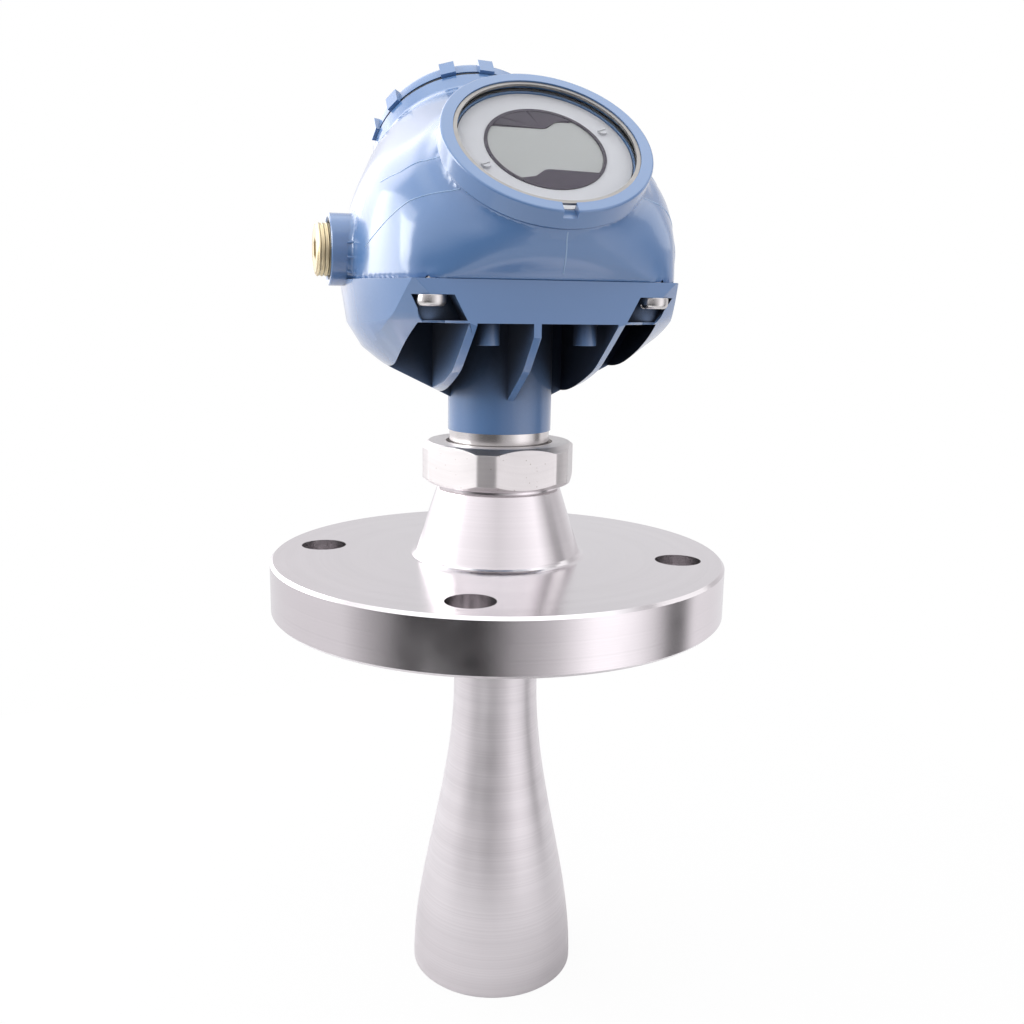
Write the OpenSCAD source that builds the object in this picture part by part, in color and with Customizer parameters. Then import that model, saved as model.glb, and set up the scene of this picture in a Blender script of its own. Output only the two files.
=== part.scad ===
// Radar level transmitter: a horn antenna hangs below a drilled pipe flange, and a cast
// aluminium head with a display and a terminal compartment turns on the neck above it.
// The origin is the centre of the flange's raised sealing face, +Z is up, the conduit
// entries lie along X and the display looks towards -Y.

/* [Process flange] */
// Outside diameter of the flange plate
flange_d = 190.5; // [170:0.5:230]
// Thickness of the plate above the raised face
flange_t = 22.3; // [16:0.1:30]
// Diameter of the raised sealing face
raised_d = 127; // [100:1:135]
// Height of the raised sealing face
raised_h = 1.6; // [1:0.1:3]
// Distance from the plate's rim in to the circle that the bolts stand on
bolt_edge = 19.05; // [15:0.05:26]
// Diameter of a bolt hole
bolt_d = 19.05; // [14:0.05:22]
// Number of bolt holes
bolt_count = 4; // [4:4:8]
// Angle of the first bolt hole from the X axis
bolt_turn = 67.5; // [0:0.5:90]
// Bevel of the plate's two rims
flange_bevel = 1.2; // [0.5:0.1:3]

/* [Hub] */
// Diameter of the hub where it grows out of the plate
hub_root_d = 70.5; // [64:0.5:76]
// Diameter of the hub's threaded top
hub_thread_d = 52; // [50:0.1:54]
// Height of the hub's cone above the plate
hub_cone_h = 28.5; // [20:0.5:36]
// Length of the thread above the cone
hub_thread_h = 13.5; // [12:0.5:16]
// Radius of the fillet between the hub and the plate
hub_fillet = 3; // [1:0.5:6]
// Depth of the recess in the hub's top
hub_recess_h = 8; // [7:0.5:10]

/* [Horn antenna] */
// Outside diameter of the horn's mouth
horn_mouth_d = 71; // [60:0.5:80]
// Distance from the sealing face down to the mouth
horn_drop = 164.6; // [120:0.2:220]
// Outside diameter of the horn's tube
tube_d = 36; // [34:0.1:38]
// Bore of the horn's tube
tube_bore = 25; // [20:0.1:28]
// Length of straight tube below the sealing face
tube_drop = 31; // [10:1:60]
// Wall of the horn at its mouth
horn_wall = 2.5; // [1.5:0.1:4]
// Diameter of the collar on top of the tube
collar_d = 43; // [41:0.1:45]
// Thickness of that collar
collar_t = 5.6; // [4:0.1:6]
// Length of the pointed end of the process seal
seal_tip = 42; // [30:1:60]

/* [Clamp nut] */
// Width of the nut across its flats
nut_af = 60; // [58:0.1:63]
// Diameter that the nut's corners are turned down to
nut_corner_d = 64.8; // [63.5:0.1:66]
// Height of the nut
nut_h = 17; // [15:0.5:19]
// Thickness of the lip on top of the nut
nut_lip = 2.2; // [1.5:0.1:3]
// Hole in the lip
nut_hole_d = 44.6; // [43.8:0.1:46]
// Height of the nut above the shoulder of the hub at rest
nut_lift = 2.8; // [1:0.1:4]
// Bevel on the nut's corners, measured along the axis
nut_bevel = 2.2; // [1:0.1:4]

/* [Neck] */
// Diameter of the steel neck ring above the nut
ring_d = 41.6; // [40:0.1:42.6]
// Diameter of the adapter's collar under the nut's lip
adapter_collar_d = 50.4; // [48:0.1:51]
// Thickness of the adapter's collar
adapter_collar_t = 3.3; // [2.5:0.1:4]
// Height from the adapter's foot to the aluminium neck
ring_h = 11; // [9:0.1:14]
// Diameter of the aluminium neck
neck_d = 42.8; // [42:0.1:44]
// Diameter of the adapter's spigot inside the neck
spigot_d = 35.6; // [34:0.1:37]
// Length of the spigot
spigot_h = 23; // [18:0.5:26]
// Diameter of the waveguide inside the adapter
guide_d = 24.8; // [20:0.1:26]

/* [Cast base] */
// Height of the joint between base and dome above the sealing face
seam_z = 136.6; // [132:0.1:142]
// Half of the base's width at the joint
base_half_w = 64.5; // [60:0.1:70]
// Half of the base's depth at the joint
base_half_d = 64; // [60:0.1:68]
// Radius of the bulging side walls
side_r = 138; // [100:1:200]
// Lean of the side walls
side_lean = 8.6; // [4:0.1:12]
// Depth of the tray's rim, from the joint to its underside
tray_h = 15.1; // [13:0.1:18]
// Thickness of the tray's floor
tray_floor = 3.5; // [2.5:0.1:4.5]
// Wall of the castings
cast_wall = 4; // [3:0.1:5]
// Width of the lobes where their feet start to round in
lobe_half_w = 62.4; // [58:0.1:64]
// Height of that place below the joint
lobe_drop = 16.1; // [12:0.1:20]
// Lean of the lobes' feet
lobe_lean = 32; // [20:0.5:45]
// Height from the sealing face to where the bowl leaves the neck
bowl_foot_z = 90.7; // [88:0.1:93]
// Radius of the bowl at its hip, half way up the ribs
bowl_hip_r = 48; // [44:0.1:52]
// Height of the hip above the sealing face
bowl_hip_z = 103.7; // [100:0.1:107]
// Radius of the bowl at its knee, beside the tray
bowl_knee_r = 72.5; // [68:0.1:76]
// Height of the knee above the sealing face
bowl_knee_z = 123.4; // [118:0.1:128]
// Radius of the bowl at the joint
bowl_rim_r = 80; // [78:0.5:84]
// Thickness of a rib
rib_t = 2.8; // [2:0.1:5]
// Distance between the ribs that run fore and aft
rib_pitch = 27.5; // [23:0.5:30]
// Turn of the middle rib from the fore and aft line
mid_rib_turn = 3.7; // [0:0.1:6]
// Diameter of the round bosses under the tray
boss_d = 8.6; // [6:0.1:10]
// Length of those bosses
boss_h = 8; // [5:0.5:12]
// Distance of those bosses from the head's middle, sideways
boss_x = 18.6; // [14:0.1:21]
// Distance of those bosses from the head's middle, fore and aft
boss_y = 50; // [44:0.5:54]

/* [Housing screws] */
// Diameter of a screw's head
screw_head_d = 10.4; // [9:0.1:11.5]
// Height of a screw's head
screw_head_h = 4; // [3:0.1:5]
// Diameter of a screw's shank
screw_d = 5; // [4:0.1:6]
// Length of a screw's shank
screw_len = 14; // [10:0.5:15]
// Place of the screws, sideways from the middle
screw_x = 41.4; // [40:0.1:43]
// Distance from the base's front and back faces in to the screws
screw_edge = 4.6; // [3:0.1:6]
// Width of the pocket round a screw's head
pocket_w = 14.3; // [13:0.1:17]
// Height of that pocket
pocket_h = 8.8; // [6:0.1:9]
// How far the foot of the pocket leans towards the middle
pocket_lean = 4.7; // [0:0.1:6]

/* [Dome] */
// Step in from the base's rim to the dome's side walls
dome_step = 2; // [1:0.1:3]
// Step in from the base's rim to the dome's front and back walls
dome_end_step = 0.8; // [0.5:0.1:2]
// Radius of the dome's corners at the joint
dome_corner = 14; // [10:1:24]
// Tilt of both barrels above the horizontal
barrel_tilt = 46; // [40:0.5:50]
// Height at which the display barrel's axis crosses the middle
front_cross_z = 124.4; // [122:0.1:127]
// Height at which the terminal barrel's axis crosses the middle
rear_cross_z = 126.4; // [124:0.1:129]
// Height of the dome's upright side walls above the joint
upright_h = 15.4; // [10:0.1:20]
// Half width of the dome at its shoulder
shoulder_half_w = 58.6; // [54:0.1:61]
// Height of that shoulder above the joint
shoulder_h = 29.4; // [24:0.1:34]
// Half width of the dome under its crown
crown_half_w = 53.4; // [48:0.1:56]
// Height of the crown above the joint
crown_h = 40.4; // [36:0.1:44]
// Half depth of the dome under its crown
crown_half_d = 40; // [34:1:46]
// Diameter of the hollow in the middle of the dome
core_d = 72; // [64:1:76]
// Height of that hollow above the joint
core_h = 21; // [17:0.5:22]
// Thickness of the gasket between base and dome
gasket_t = 1.2; // [0.8:0.1:2]
// Depth of the gasket's groove in the base
gasket_groove = 0.9; // [0.5:0.1:1]
// Width of the gasket
gasket_w = 2; // [1:0.1:2.4]
// Land between the tray's mouth and the gasket
gasket_edge = 1; // [0.8:0.1:1.4]

/* [Display barrel] */
// Distance from the crossing to the display cover's front face
display_face = 83.8; // [82:0.1:88]
// Outside diameter of the display cover
display_cover_d = 76; // [74:0.1:80]
// Depth of the display cover's visible ring
display_cover_t = 7.7; // [6.5:0.1:9]
// Outside diameter of the display barrel
display_barrel_d = 74.4; // [73:0.1:75]
// Diameter of the window in the cover
window_d = 66.8; // [64:0.1:68]
// Bore of the display chamber
display_bore = 62; // [60:0.1:63]
// Depth of the chamber from the crossing to its floor
display_floor = 54; // [52:0.5:56]
// Distance from the crossing to the face plate's front
face_plate_at = 79; // [77:0.1:79.2]
// Diameter of the round screen
screen_d = 42; // [38:0.1:46]
// Thickness of the window glass
glass_t = 2.2; // [1.6:0.1:2.4]

/* [Terminal barrel] */
// Distance from the crossing to the terminal cover's back edge
terminal_edge = 95; // [93:0.1:98]
// Outside diameter of the terminal cover
terminal_cover_d = 86; // [84:0.1:89]
// Depth of the terminal cover's visible cap
terminal_cover_t = 8; // [7:0.1:11]
// Outside diameter of the terminal barrel
terminal_barrel_d = 83; // [81:0.1:84]
// Bore of the terminal chamber
terminal_bore = 69; // [67:0.1:71]
// Depth of the chamber from the crossing to its floor
terminal_floor = 62; // [60:0.5:66]
// Number of pairs of lugs round the terminal cover
lug_pairs = 6; // [4:1:8]
// Angle between the lugs of a pair
lug_gap = 22.6; // [16:0.1:30]
// Angle of the first pair from the X axis
lug_turn = 21.8; // [0:0.1:60]
// Width of a lug
lug_w = 6.4; // [4:0.1:9]
// Height of a lug above the cap's wall
lug_h = 2; // [1:0.1:3]

/* [Cover threads] */
// Depth of the thread on each cover's skirt
skirt_h = 10; // [8:0.5:11]
// Wall of each cover's skirt
skirt_wall = 2.6; // [2.2:0.1:3.4]
// Wall of each barrel outside the thread
thread_wall = 2.7; // [2.2:0.1:3]
// Radial clearance of every thread
thread_gap = 0.1; // [0.05:0.01:0.15]
// Gap between a closed cover and its barrel
cover_gap = 0.3; // [0.2:0.05:0.5]
// Thickness of the cover seals
cord_d = 1.5; // [1:0.1:2]

/* [Conduit entries] */
// Diameter of the round bosses
entry_boss_d = 27.5; // [26:0.1:30]
// How far their faces stand out beyond the base
entry_out = 5.5; // [3.5:0.1:9.5]
// Height of their axis above the sealing face
entry_z = 147.9; // [147:0.1:150]
// Diameter of the thread
entry_d = 20; // [18:0.1:21]
// Length of the thread
entry_len = 20; // [16:0.5:24]
// How far the plug stands out
plug_out = 5; // [3:0.1:7]
// Length of the plug inside its thread
plug_in = 14; // [10:0.5:16]
// Width of the hexagon socket in the plug
plug_af = 8; // [6:0.5:10]

/* [Terminal block] */
// Width of the terminal block
block_w = 46; // [40:0.5:50]
// Depth of the terminal block
block_d = 30; // [26:0.5:34]
// Height of the terminal block
block_h = 14; // [10:0.5:18]
// Number of terminals
ways = 4; // [2:1:6]
// Diameter of a terminal screw's head
clamp_head_d = 6; // [4:0.1:7]
// Diameter of the ground screw's head
ground_head_d = 8; // [6:0.1:9]

/* [Hidden] */
$fn = 96;
// Overlap that makes joined or cut shapes cross cleanly
over = 1;
// Flat clearance between stacked pieces of two moving bodies
seat_gap = 0.1;
// Slack between pieces that slip into each other
slip = 0.2;

bolt_pcd = flange_d - 2 * bolt_edge;
screw_y = base_half_d - screw_edge;
entry_face_x = base_half_w + entry_out;
entry_seat = 2;
plate_top = raised_h + flange_t;
cone_top = plate_top + hub_cone_h;
hub_top = cone_top + hub_thread_h;
recess_floor = hub_top - hub_recess_h;
hub_groove_d = collar_d - 1;
hub_groove_bore = tube_d + 2;
collar_top = recess_floor + collar_t;
seal_head_t = hub_top - collar_top;
nut_bottom = cone_top + nut_lift;
nut_top = nut_bottom + nut_h;
adapter_foot = hub_top + seat_gap;
adapter_shoulder = adapter_foot + adapter_collar_t;
neck_foot = adapter_foot + ring_h;
spigot_top = neck_foot + spigot_h;
neck_groove_d = spigot_d - 2 * cord_d;
neck_groove_z = spigot_top - 3 * cord_d;
tray_under = seam_z - tray_h;
tray_top = tray_under + tray_floor;
// Height of the sealed can of the radar's electronics
can_h = 15;
// Drop from the joint to the bearing faces of the pan head screws
head_drop = 5.4;
washer_t = nut_top - nut_lip - adapter_shoulder - 2 * seat_gap;

barrel_end = display_face - display_cover_t - cover_gap;
display_thread_r = display_barrel_d / 2 - thread_wall;
skirt_bore_r = display_thread_r - thread_gap - skirt_wall;
seal_t = 0.6;
retainer_t = 0.9;
rim_lip = 0.5;
glass_at = display_face - rim_lip - retainer_t - glass_t;
glass_ledge = glass_at - seal_t;
plate_t = 1;
mask_t = 0.4;
terminal_end = terminal_edge - cover_gap;
terminal_thread_r = terminal_barrel_d / 2 - thread_wall;
terminal_skirt_r = terminal_thread_r - thread_gap;

// Outline with rounded corners: every point is [x, y, corner radius]
function unit(v) = v / norm(v);
function corner(a, p, b, r, n) =
    let (u = unit(a - p), v = unit(b - p), half = acos(u * v) / 2)
    let (c = p + unit(u + v) * r / sin(half), reach = r / tan(half))
    let (s = p + u * reach - c, e = p + v * reach - c)
    let (start = atan2(s[1], s[0]), sweep = atan2(s[0] * e[1] - s[1] * e[0], s * e))
    [for (k = [0 : n]) c + r * [cos(start + sweep * k / n), sin(start + sweep * k / n)]];
function xy(p) = [p[0], p[1]];
function soft(pts, n = 4) = [for (i = [0 : len(pts) - 1])
    let (last = len(pts), a = xy(pts[(i + last - 1) % last]), b = xy(pts[(i + 1) % last]))
    each pts[i][2] == 0 ? [xy(pts[i])] : corner(a, xy(pts[i]), b, pts[i][2], n)];

// Frames of the two barrels, the conduit entries and the four corners of the head
module on_display(at = 0) {
    translate([0, 0, front_cross_z]) rotate([90 - barrel_tilt, 0, 0]) translate([0, 0, at])
        children();
}

module on_terminal(at = 0) {
    translate([0, 0, rear_cross_z]) rotate([barrel_tilt - 90, 0, 0]) translate([0, 0, at])
        children();
}

module on_entry(side) {
    translate([side * entry_face_x, 0, entry_z]) rotate([0, side * 90, 0]) children();
}

module four(x, y) {
    for (sx = [-1, 1], sy = [-1, 1]) translate([sx * x, sy * y, 0]) children();
}

module disc(d, h, at = 0) {
    translate([0, 0, at]) cylinder(d = d, h = h);
}

module ring(outer, inner, h, at = 0) {
    translate([0, 0, at]) difference() {
        cylinder(d = outer, h = h);
        translate([0, 0, -over]) cylinder(d = inner, h = h + 2 * over);
    }
}

// A seal of round section lying in a flat groove
module seal(mean_d, section_d, at) {
    translate([0, 0, at]) rotate_extrude()
        translate([mean_d / 2, 0]) circle(d = section_d, $fn = 24);
}

// ---- Process connection ----

module process_flange() {
    root_r = hub_root_d / 2;
    thread_r = hub_thread_d / 2;
    bevel = 0.8;
    color("silver") difference() {
        rotate_extrude() polygon(soft([
            [0, 0, 0], [raised_d / 2, 0, 0], [raised_d / 2, raised_h, 0],
            [flange_d / 2 - flange_bevel, raised_h, 0],
            [flange_d / 2, raised_h + flange_bevel, 0],
            [flange_d / 2, plate_top - flange_bevel, 0],
            [flange_d / 2 - flange_bevel, plate_top, 0],
            [root_r, plate_top, hub_fillet], [thread_r, cone_top, 0],
            [thread_r - bevel, cone_top + bevel, 0],
            [thread_r - bevel, cone_top + 2 * bevel, 0],
            [thread_r, cone_top + 3 * bevel, 0],
            [thread_r, hub_top - bevel, 0], [thread_r - bevel, hub_top, 0],
            [0, hub_top, 0]]));
        for (i = [0 : bolt_count - 1])
            rotate(bolt_turn + i * 360 / bolt_count) translate([bolt_pcd / 2, 0, 0])
                disc(bolt_d, plate_top + 2 * over, -over);
        disc(tube_d + 2 * slip, hub_top + 2 * over, -over);
        disc(collar_d + 2 * slip, hub_recess_h + over, recess_floor);
        ring(hub_groove_d, hub_groove_bore, cord_d + over, recess_floor - cord_d);
    }
}

// The flare swells from the tube to the mouth on one smooth curve
flare_steps = 20;
flare_bias = 1.08;
function flare(t) = let (u = pow(t, flare_bias)) u * u * (3 - 2 * u);
function flare_line(r0, r1, z0, z1) = [for (i = [0 : flare_steps])
    let (t = i / flare_steps) [r0 + (r1 - r0) * flare(t), z0 + (z1 - z0) * t]];

module horn_antenna() {
    mouth_r = horn_mouth_d / 2;
    lip = 0.5;
    outer = flare_line(tube_d / 2, mouth_r, -tube_drop, -horn_drop + lip);
    inner = flare_line(tube_bore / 2, mouth_r - horn_wall, -tube_drop, -horn_drop);
    color("gainsboro") rotate_extrude() polygon(concat(
        [[tube_bore / 2, collar_top], [collar_d / 2, collar_top],
            [collar_d / 2, recess_floor], [tube_d / 2, recess_floor]],
        outer, [[mouth_r - lip, -horn_drop]],
        [for (i = [flare_steps : -1 : 0]) inner[i]]));
}

// The white plug closes the tube towards the tank and lets the signal through
module process_seal() {
    r = tube_bore / 2 - slip;
    flat_r = 1.5;
    color("ivory") rotate_extrude() polygon([
        [0, -seal_tip / 2], [flat_r, -seal_tip / 2], [r, seal_tip / 2], [r, collar_top],
        [collar_d / 2, collar_top], [collar_d / 2, hub_top], [0, hub_top]]);
}

module hub_seal_ring() {
    color("dimgray") ring(hub_groove_d - slip, hub_groove_bore + slip, cord_d, recess_floor - cord_d);
}

module thrust_washer() {
    color("silver") ring(adapter_collar_d, nut_hole_d - 1, washer_t, adapter_shoulder + seat_gap);
}

module clamp_nut() {
    corner_r = nut_af / sqrt(3);
    turned_r = nut_corner_d / 2;
    face_r = nut_af / 2 - 0.6;
    clocking = 6.2;
    color("silver") difference() {
        intersection() {
            translate([0, 0, nut_bottom]) rotate(clocking) cylinder(r = corner_r, h = nut_h, $fn = 6);
            rotate_extrude() polygon([[0, nut_bottom], [face_r, nut_bottom],
                [turned_r, nut_bottom + nut_bevel], [turned_r, nut_top - nut_bevel],
                [face_r, nut_top], [0, nut_top]]);
        }
        disc(hub_thread_d + 2 * thread_gap, nut_h - nut_lip + over, nut_bottom - over);
        disc(nut_hole_d, nut_h + 2 * over, nut_bottom);
    }
}

// ---- Neck ----

module neck_adapter() {
    color("silver") difference() {
        union() {
            disc(adapter_collar_d, adapter_collar_t, adapter_foot);
            disc(ring_d, ring_h, adapter_foot);
            disc(spigot_d, spigot_h + ring_h, adapter_foot);
        }
        disc(guide_d + slip, spigot_top, adapter_foot - over);
        ring(spigot_d + 2, neck_groove_d, cord_d, neck_groove_z);
    }
}

module neck_seal_ring() {
    color("dimgray") ring(spigot_d, neck_groove_d + slip, cord_d - slip, neck_groove_z + slip / 2);
}

module waveguide() {
    head_d = spigot_d - slip;
    bore_d = guide_d - 6;
    color("burlywood") difference() {
        union() {
            disc(guide_d, spigot_top - adapter_foot, adapter_foot);
            disc(head_d, tray_top - spigot_top, spigot_top);
        }
        disc(bore_d, tray_top, adapter_foot - over);
    }
}

// ---- Cast base: a tray over an open bowl of ribs, made in one casting ----

// One bulging side of the head as a large drum, which leans in towards its foot and is
// half_w away from the middle at the height z
module bulge(side, r, lean, half_w, z) {
    translate([-side * (side_r / cos(lean) - half_w), 0, z]) rotate([0, side * lean, 0])
        cylinder(r = r, h = 4 * base_half_w, center = true);
}

// Room between both sides and their rounded feet
module between_sides(r) {
    intersection() {
        bulge(1, r, side_lean, base_half_w, seam_z);
        bulge(-1, r, side_lean, base_half_w, seam_z);
        bulge(1, r, lobe_lean, lobe_half_w, seam_z - lobe_drop);
        bulge(-1, r, lobe_lean, lobe_half_w, seam_z - lobe_drop);
    }
}

// Solid form that every rib, wall and rim of the casting is trimmed to
module bowl_form() {
    hip_round = 30;
    knee_round = 12;
    intersection() {
        rotate_extrude() polygon(soft([
            [0, bowl_foot_z, 0], [neck_d / 2, bowl_foot_z, 0],
            [bowl_hip_r, bowl_hip_z, hip_round], [bowl_knee_r, bowl_knee_z, knee_round],
            [bowl_rim_r, seam_z, 0], [0, seam_z, 0]]));
        between_sides(side_r);
        translate([-side_r, -base_half_d, bowl_foot_z - over])
            cube([2 * side_r, 2 * base_half_d, seam_z - bowl_foot_z + over]);
    }
}

module rib(length) {
    translate([-rib_t / 2, -length / 2, bowl_foot_z])
        cube([rib_t, length, tray_top - bowl_foot_z]);
}

// Three ribs run fore and aft, the middle one a little aslant, and one runs across
module ribs() {
    for (side = [-1, 1]) translate([side * rib_pitch, 0, 0]) rib(4 * base_half_d);
    rotate(-mid_rib_turn) rib(4 * base_half_d);
    rotate(90) rib(4 * base_half_w);
}

// Room under the tray, between the inner faces of the side walls
module under_tray() {
    intersection() {
        between_sides(side_r - cast_wall);
        translate([-side_r, -side_r, 0]) cube([2 * side_r, 2 * side_r, tray_under]);
    }
}

// Window in the rim that shows a screw's head, with the driver's way in below it
module screw_pocket(side) {
    pocket_top = seam_z - head_drop;
    half_w = pocket_w / 2;
    back = screw_head_d / 2 + slip;
    driver_d = screw_head_d - 1;
    translate([0, base_half_d, pocket_top - pocket_h]) rotate([90, 0, 0])
        linear_extrude(base_half_d - screw_y + back) polygon([
            [-half_w - side * pocket_lean, 0], [half_w - side * pocket_lean, 0],
            [half_w, pocket_h], [-half_w, pocket_h]]);
    translate([0, screw_y - slip, 0]) disc(driver_d, pocket_top - tray_under, tray_under - over);
    translate([0, screw_y, 0]) disc(screw_d + 2 * slip, tray_h, pocket_top - over);
}

// Flat plan of the head at the joint, inset from both bulging sides, with two flat ends
module plan(inset, half_d) {
    back = side_r - base_half_w;
    intersection() {
        translate([-back, 0]) circle(r = side_r - inset);
        translate([back, 0]) circle(r = side_r - inset);
        square([2 * base_half_w, 2 * half_d], center = true);
    }
}

// Mouth of the tray, clear of the screws
mouth_inset = 2 * cast_wall;
mouth_d = base_half_d - mouth_inset - screw_head_d;

module tray_hollow() {
    translate([0, 0, tray_top]) linear_extrude(seam_z - tray_top + over) plan(mouth_inset, mouth_d);
}

// Flat loop round the tray's mouth, widened on both edges by a clearance
module gasket_line(play) {
    near = gasket_edge - play;
    far = gasket_edge + gasket_w + play;
    difference() {
        plan(mouth_inset - far, mouth_d + far);
        plan(mouth_inset - near, mouth_d + near);
    }
}

module housing_base() {
    color("steelblue") difference() {
        union() {
            difference() {
                bowl_form();
                under_tray();
            }
            intersection() {
                bowl_form();
                ribs();
            }
            disc(neck_d, tray_top - neck_foot, neck_foot);
            four(boss_x, boss_y) disc(boss_d, boss_h + tray_floor, tray_under - boss_h);
        }
        tray_hollow();
        disc(spigot_d + slip, tray_top, neck_foot - over);
        translate([0, 0, seam_z - gasket_groove]) linear_extrude(gasket_groove + over)
            gasket_line(slip / 2);
        for (end = [0, 180], side = [-1, 1])
            rotate(end) translate([side * screw_x, 0, 0]) screw_pocket(side);
    }
}

module housing_gasket() {
    color("dimgray") translate([0, 0, seam_z - gasket_groove]) linear_extrude(gasket_t)
        gasket_line(0);
}

// Pan head screws that pull the dome down on the base
module housing_screws() {
    head_top = seam_z - head_drop;
    slot_w = 1.6;
    slot_h = 1.4;
    head_round = 1.8;
    color("gainsboro") four(screw_x, screw_y) difference() {
        union() {
            translate([0, 0, head_top]) mirror([0, 0, 1]) rotate_extrude() polygon(soft([
                [0, 0, 0], [screw_head_d / 2, 0, 0], [screw_head_d / 2, screw_head_h, head_round],
                [0, screw_head_h, 0]]));
            disc(screw_d, screw_len, head_top);
        }
        translate([-screw_head_d, -slot_w / 2, head_top - screw_head_h - over])
            cube([2 * screw_head_d, slot_w, slot_h + over]);
    }
}

// ---- Dome: one casting with two tilted barrels ----

// Thin slice of the dome with two bulging sides, two flat ends and round corners
module dome_slab(half_w, half_d, r, z) {
    back = side_r - half_w;
    corner_x = sqrt(pow(side_r - r, 2) - pow(half_d - r, 2)) - back;
    slice = 0.2;
    translate([0, 0, seam_z + z]) linear_extrude(slice) {
        for (sx = [-1, 1], sy = [-1, 1]) translate([sx * corner_x, sy * (half_d - r)])
            circle(r = r, $fn = 48);
        intersection() {
            translate([-back, 0]) circle(r = side_r, $fn = 180);
            translate([back, 0]) circle(r = side_r, $fn = 180);
            square([2 * half_w, 2 * (half_d - r)], center = true);
        }
    }
}

// Swept skin between the joint and the feet of both barrels
module dome_skin() {
    wall_w = base_half_w - dome_step;
    wall_d = base_half_d - dome_end_step;
    round = 2 * dome_corner;
    neckline = 2;
    bare_barrel = 9;
    barrel_proud = 0.3;
    upright_round = dome_corner + 4;
    shoulder_in = 6;
    hull() {
        dome_slab(wall_w, wall_d, dome_corner, -over);
        dome_slab(wall_w, wall_d, upright_round, upright_h);
        dome_slab(shoulder_half_w, wall_d - shoulder_in, round, shoulder_h);
        dome_slab(crown_half_w, crown_half_d, round, crown_h);
        on_display(barrel_end - neckline) disc(display_barrel_d - 2 * barrel_proud, over);
        on_terminal(terminal_end - bare_barrel) disc(terminal_barrel_d - 2 * barrel_proud, over);
    }
}

module housing_dome() {
    passage_d = 10;
    wire_d = entry_d - 4;
    mouth_w = 12;
    barrel_root = core_d / 2;
    color("steelblue") difference() {
        union() {
            dome_skin();
            on_display(barrel_root) disc(display_barrel_d, barrel_end - barrel_root);
            on_terminal(barrel_root) disc(terminal_barrel_d, terminal_end - barrel_root);
            for (side = [-1, 1])
                on_entry(side) disc(entry_boss_d, entry_face_x - core_d / 2, core_d / 2 - entry_face_x);
        }
        on_display(display_floor) disc(display_bore, display_face);
        on_display(barrel_end - skirt_h - over)
            disc(2 * display_thread_r, display_face);
        on_terminal(terminal_floor) disc(terminal_bore, terminal_edge);
        on_terminal(terminal_end - skirt_h - over)
            disc(2 * terminal_thread_r, terminal_edge);
        disc(core_d, core_h + over, seam_z - over);
        disc(core_d + 2 * mouth_w, mouth_w / 2 + over, seam_z - over);
        on_display(0) disc(passage_d, display_face);
        on_terminal(0) disc(passage_d, terminal_edge);
        for (side = [-1, 1]) on_entry(side) {
            disc(entry_d, entry_len + over, -entry_len);
            disc(wire_d, entry_face_x - core_d / 4, core_d / 4 - entry_face_x);
            disc(entry_d + 2 * entry_seat, entry_seat + over, -entry_seat);
        }
        translate([0, 0, seam_z - over]) linear_extrude(over + gasket_t - gasket_groove)
            gasket_line(slip / 2);
        four(screw_x, screw_y)
            disc(screw_d + 2 * thread_gap, screw_len - head_drop + 2 * over, seam_z - over);
        translate([-base_half_w - cover_gap, -3 * base_half_d, seam_z - 2 * tray_h])
            cube([2 * (base_half_w + cover_gap), 6 * base_half_d, 2 * tray_h]);
    }
}

// ---- Electronics ----

module microwave_module() {
    flange_h = 3;
    color("silver") union() {
        disc(core_d - 4, flange_h, tray_top);
        disc(core_d - 8, can_h, tray_top);
    }
}

module electronics_module() {
    foot = tray_top + can_h;
    board_t = 2;
    color("darkgreen") union() {
        disc(core_d - 12, board_t, foot);
        disc(core_d - 20, seam_z + core_h - foot - board_t, foot);
    }
}

module display_module() {
    plug_d = 12;
    plug_h = 6;
    color("dimgray") on_display(display_floor) difference() {
        disc(display_bore - 2, face_plate_at - plate_t - display_floor);
        disc(plug_d, plug_h + over, -over);
    }
}

module module_screws() {
    head_d = 3.4;
    slot_w = 0.6;
    away = screen_d / 2 + 5;
    turn = 25;
    color("gainsboro") on_display(face_plate_at) for (i = [0 : 1]) rotate(i * 180 + turn)
        translate([away, 0, 0]) difference() {
            disc(head_d, plate_t);
            translate([-head_d, -slot_w / 2, plate_t / 2]) cube([2 * head_d, slot_w, over]);
        }
}

module face_plate() {
    color("lightgray") on_display(face_plate_at - plate_t)
        ring(2 * skirt_bore_r - 4 * slip, screen_d, plate_t);
}

module screen() {
    color("darkgray") on_display(face_plate_at - plate_t) disc(screen_d - slip, plate_t - mask_t / 2);
}

// Dark outline of the screen with a curved field above and one below
module screen_mask() {
    field_r = screen_d / 2 - 1.4;
    low = 0.58 * field_r;
    high = 0.8 * field_r;
    outside = 1.1 * field_r;
    bend_x = 0.12 * field_r;
    rise_x = 0.36 * field_r;
    color("#3a3444") on_display(face_plate_at - mask_t / 2) union() {
        ring(screen_d + 2, 2 * field_r, mask_t, mask_t / 2);
        for (turn = [0, 180]) rotate(turn) linear_extrude(mask_t) intersection() {
            circle(r = field_r + slip);
            polygon(soft([[-field_r, low, 0], [bend_x, low, 4], [rise_x, high, 3],
                [field_r, high, 0], [field_r, outside, 0], [-field_r, outside, 0]]));
        }
    }
}

way_pitch = (block_w - clamp_head_d) / ways;
way_depth = 0.3 * block_h;

module each_way() {
    for (i = [0 : ways - 1]) translate([(i - (ways - 1) / 2) * way_pitch, 0, block_h - way_depth])
        children();
}

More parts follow.
